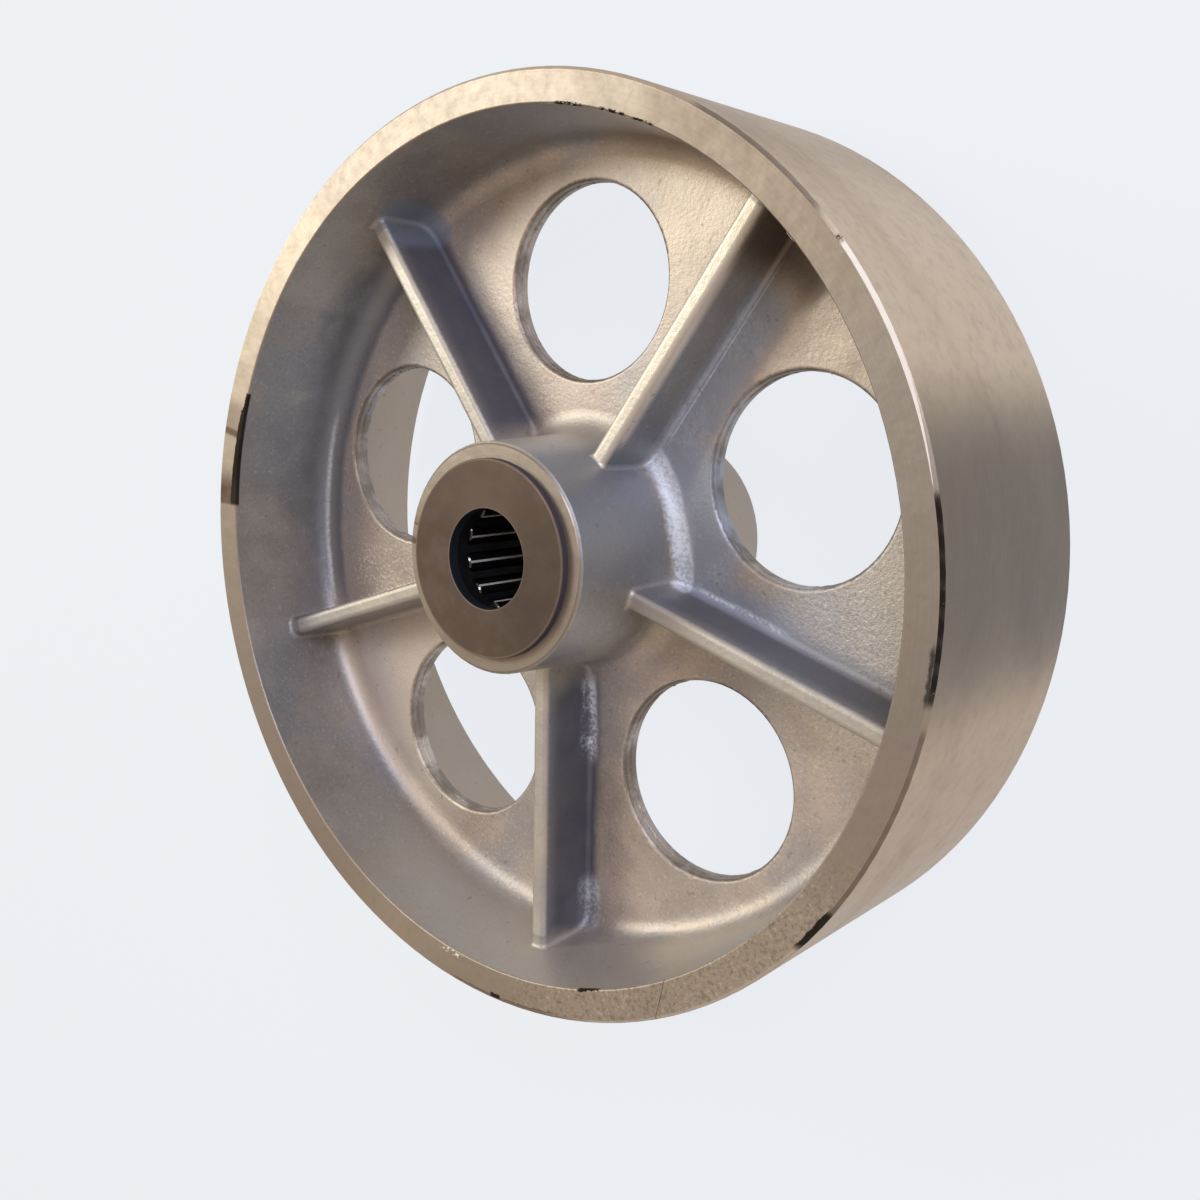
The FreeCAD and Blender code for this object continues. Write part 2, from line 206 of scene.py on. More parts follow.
class StageSetup(bpy.types.PropertyGroup):
    lens: bpy.props.FloatProperty(
        name="Lens", description="Focal length of the camera",
        default=39.934, unit="CAMERA", min=10.0, max=200.0)
    floor_colour: bpy.props.FloatVectorProperty(
        name="Floor", description="Colour of the pale floor",
        default=(0.70, 0.72, 0.75), subtype="COLOR", min=0.0, max=1.0)
    backdrop_colour: bpy.props.FloatVectorProperty(
        name="Backdrop", description="Colour that the floor shows to the camera",
        default=(0.87, 0.90, 0.94), subtype="COLOR", min=0.0, max=1.0)
    key_power: bpy.props.FloatProperty(
        name="Key light", description="Power of the warm light",
        default=4.2, unit="POWER", min=0.0, max=100.0)
    fill_power: bpy.props.FloatProperty(
        name="Fill light", description="Power of the cool light",
        default=4.0, unit="POWER", min=0.0, max=100.0)
    sky_level: bpy.props.FloatProperty(
        name="Surround", description="Brightness of the even surround", default=0.48, min=0.0, max=2.0)


# Shader arithmetic

class Level:
    """A number socket of a material that takes part in Python arithmetic."""

    def __init__(self, maker, socket):
        self.maker = maker
        self.socket = socket

    def __add__(self, other):
        return self.maker.math("ADD", self, other)

    __radd__ = __add__

    def __sub__(self, other):
        return self.maker.math("SUBTRACT", self, other)

    def __rsub__(self, other):
        return self.maker.math("SUBTRACT", other, self)

    def __mul__(self, other):
        return self.maker.math("MULTIPLY", self, other)

    __rmul__ = __mul__

    def __truediv__(self, other):
        return self.maker.math("DIVIDE", self, other)

    def __abs__(self):
        return self.maker.math("ABSOLUTE", self)


class Maker:
    """Builds one material out of nodes."""

    def __init__(self, name):
        self.material = bpy.data.materials.new(name)
        self.material.use_nodes = True
        self.tree = self.material.node_tree
        self.tree.nodes.clear()
        self.output = self.tree.nodes.new("ShaderNodeOutputMaterial")

    def node(self, kind, settings=None, inputs=None, output=0):
        """Add a node, apply its settings, fill its inputs and hand back one output."""
        made = self.tree.nodes.new("ShaderNode" + kind)
        for name, value in (settings or {}).items():
            setattr(made, name, value)
        for name, value in (inputs or {}).items():
            self.feed(made.inputs[name], value)
        return Level(self, made.outputs[output])

    def feed(self, socket, value):
        """Link a socket to another, or set its number or colour."""
        if isinstance(value, Level):
            self.tree.links.new(value.socket, socket)
        elif isinstance(value, (tuple, list)) and len(value) == 3 and socket.type == "RGBA":
            socket.default_value = tuple(value) + (1.0,)
        else:
            socket.default_value = value

    def math(self, operation, first, second=0.0):
        """Add one Math node."""
        return self.node("Math", {"operation": operation}, {0: first, 1: second})

    def place(self):
        """Read where a point lies: its X, Y and Z, its distance from the axle and from the middle plane."""
        self.spot = self.node("TexCoord", output="Object")
        split = self.tree.nodes.new("ShaderNodeSeparateXYZ")
        self.tree.links.new(self.spot.socket, split.inputs[0])
        self.x, self.y, self.z = (Level(self, socket) for socket in split.outputs)
        self.radius = self.math("SQRT", self.x * self.x + self.y * self.y)
        self.height = abs(self.z)

    def smooth(self, value, low, high):
        """Rise smoothly from 0 at low to 1 at high."""
        return self.node("MapRange", {"interpolation_type": "SMOOTHSTEP", "clamp": True},
                         {"Value": value, "From Min": low, "From Max": high, "To Min": 0.0, "To Max": 1.0})

    def fall(self, value, low, high):
        """Fall smoothly from 1 at low to 0 at high."""
        return 1.0 - self.smooth(value, low, high)

    def band(self, value, low, high, soft=0.0001):
        """Mask the values between low and high, with soft ends."""
        return self.smooth(value, low - soft, low + soft) * self.fall(value, high - soft, high + soft)

    def span(self, start, end, soft=0.5):
        """Mask a sector of the wheel, between two directions from the axle in degrees, with soft ends."""
        centre = math.radians((start + end) / 2)
        half = (end - start) / 2
        toward = (self.x * math.cos(centre) + self.y * math.sin(centre)) / self.radius
        outside = math.cos(math.radians(half + soft / 2))
        inside = math.cos(math.radians(max(half - soft / 2, 0.0)))
        return self.smooth(toward, outside, inside)

    def most(self, *masks):
        """Return the highest of several masks."""
        total = masks[0]
        for mask in masks[1:]:
            total = self.math("MAXIMUM", total, mask)
        return total

    def noise(self, vector, scale, detail=3.0, roughness=0.5, distortion=0.0, dimensions="3D"):
        """Return a noise pattern between 0 and 1."""
        where = {"W": vector} if dimensions == "1D" else {"Vector": vector}
        where.update({"Scale": scale, "Detail": detail, "Roughness": roughness, "Distortion": distortion})
        return self.node("TexNoise", {"noise_dimensions": dimensions}, where, output="Fac")

    def blend(self, factor, first, second, mode="MIX"):
        """Mix two colours."""
        made = self.tree.nodes.new("ShaderNodeMix")
        made.data_type = "RGBA"
        made.blend_type = mode
        made.clamp_factor = True
        self.feed(made.inputs[0], factor)
        self.feed(made.inputs[6], first)
        self.feed(made.inputs[7], second)
        return Level(self, made.outputs[2])

    def combine(self, x, y, z):
        """Join three numbers into a vector."""
        return self.node("CombineXYZ", None, {0: x, 1: y, 2: z})

    def bump(self, height, strength, distance, under=None):
        """Turn a height pattern into a bent normal."""
        inputs = {"Height": height, "Strength": strength, "Distance": distance}
        if under is not None:
            inputs["Normal"] = under
        return self.node("Bump", None, inputs)

    def finish(self, **inputs):
        """Feed the main shader and close the material."""
        shader = self.tree.nodes.new("ShaderNodeBsdfPrincipled")
        for name, value in inputs.items():
            self.feed(shader.inputs[name.replace("_", " ")], value)
        self.tree.links.new(shader.outputs[0], self.output.inputs[0])
        return self.material


class Iron(Maker):
    """The casting's material: its parts as masks from 0 to 1, and the noise patterns of its surface."""

    def __init__(self, look):
        super().__init__("cast_iron_finish")
        self.place()
        radius, height = self.radius, self.height
        self.tread = self.smooth(radius, TREAD_RADIUS - 0.0011, TREAD_RADIUS - 0.0007)
        self.land = self.smooth(height, RIM_FACE - 0.0006, RIM_FACE - 0.0002) \
            * self.smooth(radius, 0.110, 0.112)
        hub_face = self.smooth(height, HUB_END - 0.0006, HUB_END - 0.0002)
        self.machined = self.most(self.tread, self.land, hub_face)
        self.web = self.fall(height, WEB_FACE + 0.0010, WEB_FACE + 0.0040)
        self.wall = self.smooth(radius, 0.1125, 0.1150)
        # The direction from the axle, folded onto the nearest rib, and the distance beside that rib
        self.around = self.math("ARCTAN2", self.y, self.x)
        self.fold = self.math("PINGPONG", self.around, RIB_STEP / 2)
        self.beside = radius * self.math("SINE", self.fold)
        # Broad, bluish and small patches, sand grain, and the grain's finer part
        self.broad = self.noise(self.spot, 14.0, 4.0, 0.55)
        self.cool = self.noise(self.spot, 22.0, 3.0, 0.55, 0.6)
        self.cloud = self.noise(self.spot, 70.0, 5.0, 0.6, 0.3)
        self.grain = self.noise(self.spot, 1.0 / look.grain_size, 3.0, 0.6)
        self.fine = self.noise(self.spot, 2400.0, 2.0, 0.6)
        self.fleck = self.smooth(self.grain + (self.fine - 0.5) * 0.35, 0.58, 0.70)
        self.coarse = self.web * self.span(-4.0, 34.0, 14.0) * self.smooth(radius, 0.055, 0.080)


def rim_wear(make):
    """Mask the marks of the front rim face and the tread's front corner: chips, stains, bright chipped metal
    and a painted highlight.
    """
    radius, height = make.radius, make.height
    front = make.smooth(make.z, RIM_FACE - 0.0014, RIM_FACE - 0.0009)
    ragged = make.noise(make.spot, 620.0, 4.0, 0.7)
    blotch = make.noise(make.spot, 240.0, 3.0, 0.6)
    wobble = radius + (ragged - 0.5) * 0.0014 + (blotch - 0.5) * 0.0010
    corner = make.smooth(radius + height, RIM_CORNER - 0.0001, RIM_CORNER - 0.00002)

    # Left: a broken-out inner edge, wider towards its lower end
    turn = make.math("ARCTAN2", 0.0 - make.y, 0.0 - make.x)
    depth = 0.1187 + 0.0042 * (turn + 0.035) + 0.0007 * make.smooth(turn, 0.000, 0.004)
    broken = make.span(177.2, 195.1) * make.fall(wobble - depth, -0.0001, 0.0001) \
        * make.smooth(radius, 0.110, 0.112)
    # Right: dark lines along the outer corner and a smudge beside it
    corner_line = corner * make.smooth(ragged, 0.22, 0.34) * make.most(
        make.span(8.7, 29.5, 1.5), make.span(60.5, 80.0, 3.0) * 0.55, make.span(337.0, 366.0, 2.0) * 0.55)
    low_line = make.span(336.8, 343.0, 1.6) \
        * make.smooth(wobble + height, RIM_CORNER - 0.0007, RIM_CORNER - 0.0004)
    smudge = make.span(8.6, 14.5, 1.5) * make.band(wobble, 0.1250, 0.1262, 0.0004) * 0.8
    nick = make.span(56.3, 57.1, 0.4) * make.smooth(wobble + height, RIM_CORNER - 0.0003, RIM_CORNER)
    # Bottom: one deep chip, a gouge on the inner edge and a fine crack across the face
    deep = make.span(286.7, 288.3, 0.4) * make.band(wobble, 0.1249, 0.1263)
    gouge = make.span(302.2, 305.8, 0.6) * make.band(wobble, 0.1172, 0.1183)
    line = abs(make.around + 0.7487 + (radius - 0.1178) * 6.9) * radius + (ragged - 0.5) * 0.0003
    crack = make.span(313.2, 317.6, 0.3) * make.fall(line, 0.00006, 0.00020) * 0.75
    # Top: dark roots of the burrs on the inner edge
    roots = make.most(make.span(95.6, 99.8), make.span(84.2, 92.6, 0.7)) \
        * make.band(wobble, 0.1174, 0.1184) * make.smooth(ragged, 0.42, 0.50)
    chips = make.most(broken, corner_line, low_line, smudge, nick, deep, gouge, crack, roots) * front

    # Brown stains across the face and a rusty line along the lower left corner
    stripe = make.most(make.span(183.6, 184.5, 0.7) * 0.8, make.span(180.0, 184.0, 3.0) * 0.35)
    patch = make.smooth(turn, 0.165, 0.225) * make.span(186.0, 195.2, 0.6) * (0.85 + 0.5 * (blotch - 0.5))
    rust = make.most(corner * make.span(205.0, 300.0, 8.0) * 0.6,
                     make.span(280.0, 297.5, 2.0) * make.band(wobble, 0.1254, 0.1260) * 0.7)
    stains = make.most(stripe, patch, rust) * front

    # Painted highlight along the chamfered corner on the right, which widens upwards, and two bright chips at
    # the bottom
    taper = make.math("MINIMUM", (make.around - math.radians(29.0)) / math.radians(16.0), 1.0)
    corner_highlight = corner * make.span(30.5, 56.3, 0.8) \
        * make.smooth(height - (RIM_FACE - TREAD_CHAMFER * 0.95 * taper), -0.00005, 0.00005)
    bright_chips = make.span(276.6, 281.0, 1.2) * make.band(wobble, 0.1183, 0.1200) \
        * make.smooth(ragged, 0.50, 0.60)
    bare_and_highlight = make.most(corner_highlight, bright_chips) * front
    return chips, stains, bare_and_highlight, corner


def fillet_highlights(make):
    """Mask the painted bluish-white highlights in the fillets: by the hub, in the rim's corner and along the
    ribs' feet.
    """
    radius, beside, cloud, grain = make.radius, make.beside, make.cloud, make.grain
    drift = (cloud - 0.5) * 0.0040 + (grain - 0.5) * 0.0016
    low = make.fall(make.height, 0.0060, 0.0085)
    turn = (make.around - 0.56) / 0.49
    by_hub = make.span(4.0, 64.0, 8.0) \
        * make.band(radius + drift - 0.0020 * turn * turn, 0.0336, 0.0382, 0.0007)
    right_foot = make.span(2.5, 8.5, 1.0) * make.band(beside + drift, 0.0046, 0.0058, 0.0006) \
        * make.band(radius, 0.042, 0.070, 0.004)
    upper_foot = make.span(61.0, 70.5, 2.0) * make.band(radius, 0.043, 0.101, 0.004) \
        * make.band(beside + (cloud - 0.5) * 0.0005, 0.0054, 0.0058, 0.0002) * low
    lower_foot = make.span(290.0, 299.0, 2.0) * make.band(beside + drift, 0.0040, 0.0064, 0.0007) \
        * make.band(radius + drift * 2.0, 0.040, 0.062, 0.004)
    foot_end = make.span(290.0, 292.6, 1.0) * make.band(radius + drift, 0.100, 0.114, 0.003)
    painted_rim_corner = make.span(181.0, 211.5, 6.0) * make.band(radius + drift * 0.2, 0.1117, 0.1127, 0.0006)
    broken = make.smooth(grain * 0.6 + cloud * 0.4, 0.43, 0.56)
    solid = make.most(by_hub, right_foot, foot_end * 0.6, lower_foot * 0.9) * low
    return make.most(solid * (0.35 + 0.6 * broken), painted_rim_corner * (0.40 + 0.25 * broken),
                     upper_foot * (0.4 + 0.3 * broken))


def cast_skin(make, look):
    """Mix the cast surface's colour; also return where it has painted shade on the rib sides and where it has
    painted highlights in the fillets.
    """
    radius, height, beside, web = make.radius, make.height, make.beside, make.web
    cloud, grain, cool, coarse = make.cloud, make.grain, make.cool, make.coarse
    shift = cloud - 0.5
    under_crest = make.fall(height, RIB_CREST, RIB_CREST + 0.0004)

    # Dull and bluish patches, bright flecks of bare metal and small pits
    patch = make.smooth(make.broad * 0.6 + cloud * 0.4, 0.40, 0.62)
    skin = make.blend(patch, tuple(look.dull_colour), tuple(look.paint_colour))
    skin = make.blend(make.smooth(cool, 0.46, 0.62) * 0.65, skin, tuple(look.cool_colour))
    skin = make.blend(make.fleck * (0.30 + 0.55 * coarse), skin, BARE_FLECK)
    pitted = make.fall(grain + (make.fine - 0.5) * 0.5, 0.34, 0.44) * (0.22 + 0.6 * coarse)
    skin = make.blend(pitted, skin, DARK_PIT)
    skin = make.blend(web, skin, WEB_TINT, "MULTIPLY")

    # Painted shade on the rib sides that face away from the key light, with a painted highlight along its top
    # on the upper right rib
    rib = make.math("ROUND", make.around / RIB_STEP) * RIB_STEP
    side = make.math("SIGN", make.around - rib)
    facing = make.math("COSINE", rib + side * math.radians(90.0) - math.radians(40.0))
    along = radius + shift * 0.006
    within = make.smooth(along, 0.034, 0.044) * make.fall(along, 0.110, 0.1165)
    flank = make.smooth(facing, 0.46, 0.72) * make.fall(beside + shift * 0.0040, 0.0052, 0.0092) \
        * make.smooth(beside, 0.0024, 0.0030) * within * under_crest
    # Painted highlight along the top of the upper right rib's shaded side
    shoulder = make.span(66.5, 71.0, 1.0) * make.smooth(height, 0.0165, 0.0198) \
        * make.smooth(beside, 0.0016, 0.0022) * within * under_crest
    flank = flank * (1.0 - shoulder)
    # Painted shade on the rib sides that face away from the key light
    scale = make.math("MINIMUM", flank * (0.70 + 0.45 * cloud), 1.0)

    # Painted shade on the hub's right side, and a painted bluish shadow of the ribs on the web round the hub
    # and beside the ribs on the right
    hub_side_shade = make.fall(radius, 0.0365, 0.0405) * make.smooth(height, 0.0060, 0.0110)
    off_centre = beside + shift * 0.008
    web_shadow = web * make.most(
        make.span(37.0, 74.0, 4.0) * make.fall(off_centre, 0.0130, 0.0185) * make.fall(radius, 0.090, 0.099),
        make.span(0.0, 36.0, 4.0) * make.fall(off_centre, 0.0090, 0.0150) * make.fall(radius, 0.066, 0.082),
        make.span(0.0, 72.0, 2.0) * make.fall(radius, 0.050, 0.058))
    web_shadow_mottle = web_shadow * make.smooth(grain * 0.35 + cloud * 0.65, 0.50, 0.66)

    # Painted shade in the rim's corner, painted light and painted shadow at the ribs' ends, dust on the web
    # and the dark outline of the holes
    # Painted shade in the rim's corner on the left, on both sides of the painted highlight in its fillet
    painted_rim_corner = make.span(150.0, 212.0, 12.0) * make.band(radius + shift * 0.004, 0.1065, 0.1155, 0.0015)
    # Painted bluish light on the upper left rib's shaded side near the rim
    rib_end_light = make.span(138.3, 143.0, 1.6) * make.smooth(radius + shift * 0.004, 0.104, 0.109) \
        * make.fall(height, RIB_CREST - 0.001, RIB_CREST + 0.0010)
    # Painted shadow of the rim and the upper right rib in the corner between them
    corner_shadow = make.span(60.5, 71.2, 2.0) * make.smooth(radius + shift * 0.008, 0.092, 0.104) \
        * make.fall(height, RIB_CREST - 0.0030, RIB_CREST)
    dust = make.span(204.0, 214.5, 4.0) * make.band(radius, 0.066, 0.102, 0.008) * web \
        * make.smooth(grain * 0.7 + cloud * 0.3, 0.50, 0.62)
    from_hole = 2 * HOLE_PITCH * radius * make.math("COSINE", RIB_STEP / 2 - make.fold)
    to_hole = make.math("SQRT", radius * radius + HOLE_PITCH ** 2 - from_hole)
    lip = make.fall(to_hole + (grain - 0.5) * 0.0008, HOLE_RADIUS + 0.0004, HOLE_RADIUS + 0.0010) * web \
        * make.smooth(cloud, 0.36, 0.60)
    # painted highlights in the fillets
    fillet_highlight = fillet_highlights(make)
    speck = make.smooth(make.noise(make.spot, 420.0, 2.0), 0.68, 0.74)

    # Rubbed rib crests, with a painted highlight that makes the upper right rib's crest brightest
    crest = make.smooth(height, RIB_CREST - 0.0014, RIB_CREST - 0.0004) * make.fall(beside, 0.0026, 0.0032) \
        * make.fall(height, RIB_CREST + 0.0002, RIB_CREST + 0.0006) * make.fall(radius, 0.112, 0.113)
    crest = crest * (0.24 + 0.46 * cloud + 0.5 * make.span(66.0, 76.0, 3.0))

    for mask, colour in (
            # painted highlight below the upper right rib's crest
            (shoulder * 0.92, SHOULDER_HIGHLIGHT),
            # painted shade on the rib sides that face away from the key light
            (scale, tuple(look.flank_shade_colour)),
            # painted shade on the hub's right side
            (hub_side_shade * (0.35 + 0.5 * cool) * make.span(8.0, 82.0, 24.0), tuple(look.cool_colour)),
            # painted bluish shadow of the ribs on the web
            (web_shadow * 0.85, WEB_SHADOW),
            # lighter mottle inside the painted shadow on the web
            (web_shadow_mottle * 0.40, WEB_SHADOW_MOTTLE),
            (coarse * 0.45, SILVER_IRON),
            (make.span(222.0, 256.0, 14.0) * web * 0.6, PALE_IRON),
            (make.span(255.0, 330.0, 24.0) * make.wall * 0.5, BROWN_WALL),
            # painted shadow of the rim on the web at the upper right
            (make.span(72.0, 100.0, 16.0) * make.smooth(radius, 0.105, 0.1105) * 0.55, UPPER_RIM_SHADE),
            # painted shade in the rim's corner
            (painted_rim_corner * 0.8, RIM_CORNER_SHADE),
            # painted light at the upper left rib's outer end
            (rib_end_light * 0.7, RIB_END_LIGHT),
            # painted light on the back half, seen through the web holes
            (make.fall(make.z, -0.0060, -0.0020) * 0.7, BACK_PAINTED_LIGHT),
            (dust * 0.55, CREAM_DUST),
            # painted highlights in the fillets
            (fillet_highlight, tuple(look.fillet_highlight_colour)),
            (lip * 0.7, DARK_LIP),
            # painted light on the top of the hub's side
            (make.span(84.0, 136.0, 14.0) * make.fall(radius, 0.0350, 0.0400) * 0.45, HUB_TOP_LIGHT),
            # painted shadow at the upper right rib's outer end
            (corner_shadow * 0.8, CORNER_SHADOW),
            (speck * 0.35, DARK_SPECK),
            # rubbed crests, with a painted highlight on the upper right one
            (crest, CREST_RUB_AND_HIGHLIGHT)):
        skin = make.blend(mask, skin, colour)
    return skin, flank, fillet_highlight


def turned_skin(make, look):
    """Mix the turned faces' colour; also return their tool marks, mottle, stains and grainy part."""
    x, y, z, tread, land = make.x, make.y, make.z, make.tread, make.land
    # Tool marks run round the tread at each height and round the faces at each radius
    marks_tread = make.noise(z, 1.0 / look.turning_pitch, 2.0, 0.6, dimensions="1D")
    marks_face = make.noise(make.radius, 1.0 / look.turning_pitch, 2.0, 0.6, dimensions="1D")
    marks = make.node("Mix", {"data_type": "FLOAT"}, {0: tread, 2: marks_face, 3: marks_tread})
    smear = make.noise(make.combine(x * 9.0, y * 9.0, z * 26.0), 1.0, 4.0, 0.6, 0.4)
    stain = make.smooth(smear, 0.50, 0.72)
    mottle = make.noise(make.spot, 260.0, 4.0, 0.65)
    darker = make.math("MINIMUM", make.span(12.0, 34.0, 20.0) * tread * (0.75 + 0.5 * smear), 1.0)
    grainy = make.span(292.0, 346.0, 14.0) * land
    turned = make.blend(tread, tuple(look.machined_colour), tuple(look.tread_colour))
    brown = tuple(look.stain_and_shade_colour)
    for mask, colour in (
            # painted light on the upper tread
            (make.span(40.0, 66.0, 18.0) * tread * 0.6, TREAD_UPPER_LIGHT),
            # painted sheen on the left of the front rim face
            (make.span(148.0, 186.0, 16.0) * land * 0.35, LAND_LEFT_SHEEN),
            # painted shade on the right of the front rim face
            (make.span(2.0, 50.0, 16.0) * land * 0.6, LAND_RIGHT_SHADE),
            (make.span(-45.0, 6.0, 16.0) * tread * 0.35, TREAD_LOW),
            # painted shade on the upper right of the front rim face, in the stain colour
            (make.span(52.0, 84.0, 20.0) * land * 0.35, brown),
            # painted light on the lower part of the front rim face
            (make.span(262.0, 344.0, 20.0) * land * 0.6, LAND_LOW_LIGHT),
            (stain * (0.35 - 0.15 * tread), brown),
            (darker * 0.9, TREAD_DARK),
            (make.smooth(mottle, 0.45, 0.75) * 0.22, brown),
            (marks * 0.14, RUBBED_IRON),
            (grainy * make.fleck * 0.45, RUBBED_IRON),
            (grainy * make.fall(make.grain, 0.36, 0.48) * 0.55, DARK_GRIT)):
        turned = make.blend(mask, turned, colour)
    return turned, marks, mottle, stain, grainy


def cast_iron(look):
    """Silvery sand-cast iron whose tread, rim faces and hub ends are turned bright."""
    make = Iron(look)
    cloud, grain, machined = make.cloud, make.grain, make.machined
    skin, flank, fillet_highlight = cast_skin(make, look)
    turned, marks, mottle, stain, grainy = turned_skin(make, look)
    chips, stains, bare_and_highlight, corner = rim_wear(make)

    turned = make.blend(corner * 0.35, turned, RUBBED_IRON)
    colour = make.blend(machined, skin, turned)
    colour = make.blend(stains, colour, tuple(look.rust_colour))
    # bright chips and a painted highlight on the rim's corner
    colour = make.blend(bare_and_highlight, colour, WHITE_BARE_AND_HIGHLIGHT)
    colour = make.blend(chips * 0.95, colour, tuple(look.chip_colour))

    worn = make.most(stains * 0.8, bare_and_highlight)
    rough_skin = 0.38 + 0.16 * cloud + 0.10 * grain + 0.06 * make.coarse
    rough_turned = 0.36 + 0.14 * mottle + 0.12 * stain + 0.08 * grainy + 0.05 * make.land
    rough = make.node("Mix", {"data_type": "FLOAT"}, {0: machined, 2: rough_skin, 3: rough_turned})
    rough = rough + make.most(worn, chips) * 0.45 + flank * (1.0 - machined) * 0.18
    dull = make.most(worn, fillet_highlight * (1.0 - machined) * 0.7)
    metal = make.node("Mix", {"data_type": "FLOAT"}, {0: machined, 2: 0.70, 3: 0.82}) * (1.0 - dull)

    lumps = make.bump(make.noise(make.spot, 90.0, 3.0, 0.5), 0.35, 0.0009)
    sand = grain * 0.8 + make.fine * 0.2
    relief = sand * (1.0 - machined) * (0.75 + 0.9 * make.coarse) \
        + marks * machined * 0.10 + sand * grainy * 0.7
    normal = make.bump(relief, 0.55, 0.00035, lumps)
    return make.finish(Base_Color=colour, Roughness=rough, Metallic=metal, Normal=normal)


def washer_steel(look):
    """Browned steel with faint turning marks and a worn edge round the hole; painted light on its upper side,
    painted shade on its right side, on its outer wall and in its hole.
    """
    make = Maker("washer_steel_finish")
    make.place()
    radius = make.radius
    marks = make.noise(radius, 2600.0, 2.0, 0.6, dimensions="1D")
    cloud = make.noise(make.spot, 120.0, 4.0, 0.6)
    fine = make.noise(make.spot, 900.0, 3.0, 0.6)
    base = tuple(look.washer_colour)
    worn = tuple(min(1.0, 1.55 * part) for part in base)
    rim = make.smooth(radius, WASHER_RADIUS - 0.0008, WASHER_RADIUS - 0.0004)
    lip = make.fall(radius, AXLE_HOLE_RADIUS + 0.0002, AXLE_HOLE_RADIUS + 0.0006)
    face = make.smooth(make.height, WASHER_FACE - 0.0005, WASHER_FACE - 0.0001)
    # Painted shade in the washer's hole and on its outer wall
    hole_shade = make.fall(radius, AXLE_HOLE_RADIUS + 0.00005, AXLE_HOLE_RADIUS + 0.00020)
    outer_wall_shade = make.smooth(radius, WASHER_RADIUS - 0.0002, WASHER_RADIUS - 0.0001) * (1.0 - face)
    colour = make.blend(make.smooth(cloud, 0.38, 0.66) * 0.5, base, worn)
    for mask, tint in (
            (marks * 0.18, worn),
            (make.most(rim, lip) * face * 0.35, RUBBED_STEEL),
            # painted light on the washer's upper side
            (make.span(80.0, 150.0, 60.0) * 0.45, WASHER_PAINTED_LIGHT),
            # painted shade on the washer's right side
            (make.span(-50.0, 30.0, 60.0) * 0.40, WASHER_PAINTED_SHADE),
            # painted shade on the washer's outer wall
            (outer_wall_shade * 0.8, WASHER_WALL_SHADE),
            # painted shade in the washer's hole
            (hole_shade, WASHER_HOLE_SHADE)):
        colour = make.blend(mask, colour, tint)
    rough = 0.60 + 0.10 * cloud + 0.06 * fine
    normal = make.bump(marks * 0.6 + fine * 0.4, 0.35, 0.00012)
    return make.finish(Base_Color=colour, Roughness=rough, Metallic=0.0, Specular_IOR_Level=0.15,
                       Normal=normal)


def cage_steel(look):
    """Blackened steel, a little worn, with a painted highlight on the inner edge at each end."""
    make = Maker("cage_steel_finish")
    make.place()
    cloud = make.noise(make.spot, 260.0, 4.0, 0.6)
    colour = make.blend(make.smooth(cloud, 0.55, 0.75) * 0.35, tuple(look.cage_colour), RUBBED_BLACK)
    # Painted highlight on the inner edge at each end
    edge = make.smooth(make.height, CAGE_END - 0.00035, CAGE_END - 0.00015) \
        * make.fall(make.radius, CAGE_INNER + 0.00010, CAGE_INNER + 0.00025)
    colour = make.blend(edge, colour, CAGE_EDGE_HIGHLIGHT)
    normal = make.bump(make.noise(make.spot, 1500.0, 2.0), 0.3, 0.00008)
    return make.finish(Base_Color=colour, Roughness=0.38 + 0.14 * cloud, Metallic=0.4, Normal=normal)


def roller_steel(look):
    """Ground steel painted dark as shade, with fine rings and a painted highlight line along the side that
    faces the axle at rest.
    """
    make = Maker("roller_steel_finish")
    make.place()
    rings = make.noise(make.z, 1800.0, 2.0, 0.6, dimensions="1D")
    cloud = make.noise(make.spot, 220.0, 4.0, 0.6)
    # Painted highlight line along the side that faces the axle
    highlight_line = make.fall(make.radius, ROLLER_INNER + 0.000012, ROLLER_INNER + 0.000030)
    # the rollers' dark colour is painted shade
    colour = make.blend(make.smooth(cloud, 0.40, 0.70) * 0.5, tuple(look.shaded_roller_colour), DARKER_ROLLER_SHADE)
    colour = make.blend(rings * 0.10, colour, ROLLER_RING)
    colour = make.blend(highlight_line, colour, ROLLER_HIGHLIGHT)
    normal = make.bump(rings, 0.15, 0.00006)
    return make.finish(Base_Color=colour, Roughness=0.10 + 0.06 * cloud + 0.35 * highlight_line,
                       Metallic=0.95 - 0.6 * highlight_line, Normal=normal)


# New surfaces

def lay_mesh(name, grid, ring, body, material):
    """Make a closed surface out of a grid of points: rows run along it, columns run round its section.

    Point (i, j) is point i * columns + j of the mesh. Each quad joins (i, j), (i, j + 1), (i + 1, j + 1) and
    (i + 1, j). A ring's last row meets its first; any other piece is closed by a cap at each end.
    """
    rows, columns, _ = grid.shape
    row = np.arange(rows if ring else rows - 1)[:, None]
    column = np.arange(columns)[None, :]
    next_row = (row + 1) % rows
    next_column = (column + 1) % columns
    quads = np.stack([row * columns + column, row * columns + next_column,
                      next_row * columns + next_column, next_row * columns + column], axis=-1)
    faces = quads.reshape(-1, 4).tolist()
    if not ring:
        faces.append(list(range(columns))[::-1])
        faces.append([(rows - 1) * columns + step for step in range(columns)])
    mesh = bpy.data.meshes.new(name)
    mesh.from_pydata(grid.reshape(-1, 3).tolist(), [], faces)
    mesh.update()
    for polygon in mesh.polygons:
        polygon.use_smooth = True
    piece = bpy.data.objects.new(name, mesh)
    bpy.context.scene.collection.objects.link(piece)
    mesh.materials.append(material)
    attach(piece, body)
    return piece


